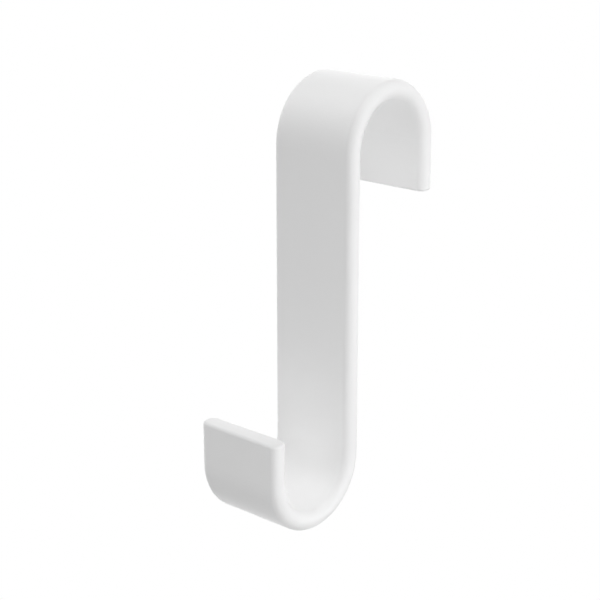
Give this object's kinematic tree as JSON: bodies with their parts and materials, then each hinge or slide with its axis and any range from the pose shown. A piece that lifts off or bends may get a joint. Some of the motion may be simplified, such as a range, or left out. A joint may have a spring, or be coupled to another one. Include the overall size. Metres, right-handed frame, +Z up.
{
  "type": "towel radiator hook",
  "caption": "S-shaped strip hook that drops over a towel radiator rail and holds a towel in its lower bend.",
  "frame": {"origin": "on the axis of the rail in the top bend, at the middle of the strip's width", "axes": "+X along the rail, +Z up, -Y towards the side where the towel hangs"},
  "size_m": [0.0268, 0.0644, 0.1156],
  "materials": {
    "white_plastic": "satin, as moulded"
  },
  "bodies": {
    "root": {"hook": "white_plastic"}
  },
  "joints": []
}
